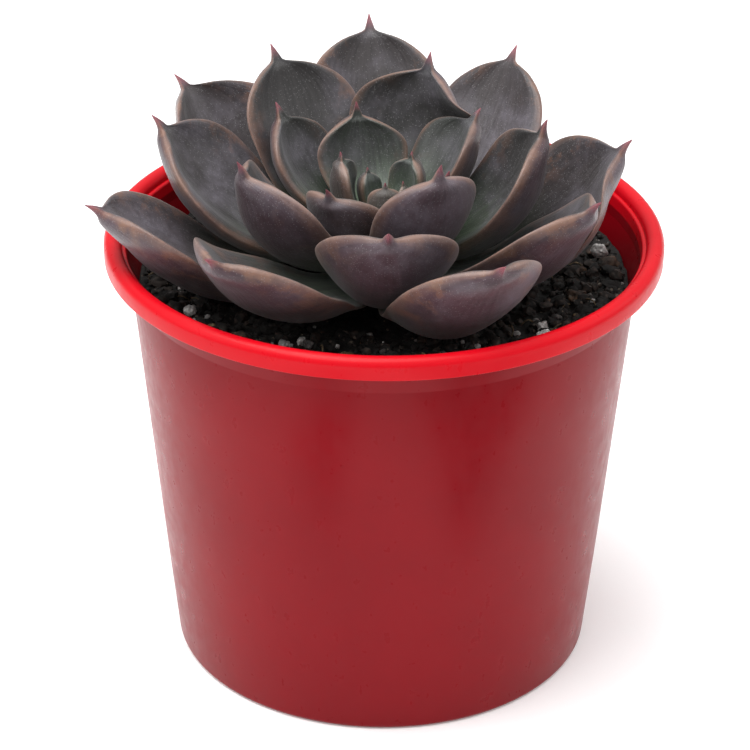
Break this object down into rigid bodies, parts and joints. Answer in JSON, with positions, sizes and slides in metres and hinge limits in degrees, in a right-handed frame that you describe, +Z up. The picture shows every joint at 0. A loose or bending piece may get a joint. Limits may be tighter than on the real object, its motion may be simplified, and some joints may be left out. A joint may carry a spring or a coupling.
{
  "type": "potted echeveria",
  "caption": "Dark rosette succulent with thick pointed leaves, growing in soil in a round tapered red plastic pot with a folded rim and drain holes.",
  "frame": {"origin": "centre of the pot's flat underside", "axes": "+Z up along the pot's axis; -Y is the front, the side that faces a viewer; +X is to the viewer's right"},
  "size_m": [0.1219, 0.12, 0.1282],
  "materials": {
    "red_plastic": "satin",
    "potting_soil": "matte",
    "stem_skin": "matte",
    "leaf_skin": "satin",
    "perlite": "matte",
    "bark": "matte"
  },
  "bodies": {
    "root": {"pot": "red_plastic", "soil": "potting_soil", "stem_with_roots": "stem_skin", "leaf_01": "leaf_skin", "leaf_02": "leaf_skin", "leaf_03": "leaf_skin", "leaf_04": "leaf_skin", "leaf_05": "leaf_skin", "leaf_06": "leaf_skin", "leaf_07": "leaf_skin", "leaf_08": "leaf_skin", "leaf_09": "leaf_skin", "leaf_10": "leaf_skin", "leaf_11": "leaf_skin", "leaf_12": "leaf_skin", "leaf_13": "leaf_skin", "leaf_14": "leaf_skin", "leaf_15": "leaf_skin", "leaf_16": "leaf_skin", "leaf_17": "leaf_skin", "leaf_18": "leaf_skin", "leaf_19": "leaf_skin", "leaf_20": "leaf_skin", "leaf_21": "leaf_skin", "leaf_22": "leaf_skin", "leaf_23": "leaf_skin", "leaf_24": "leaf_skin", "leaf_25": "leaf_skin", "leaf_26": "leaf_skin", "perlite_1": "perlite", "perlite_2": "perlite", "perlite_3": "perlite", "perlite_4": "perlite", "perlite_5": "perlite", "bark_chip_1": "bark", "bark_chip_2": "bark"}
  },
  "joints": []
}
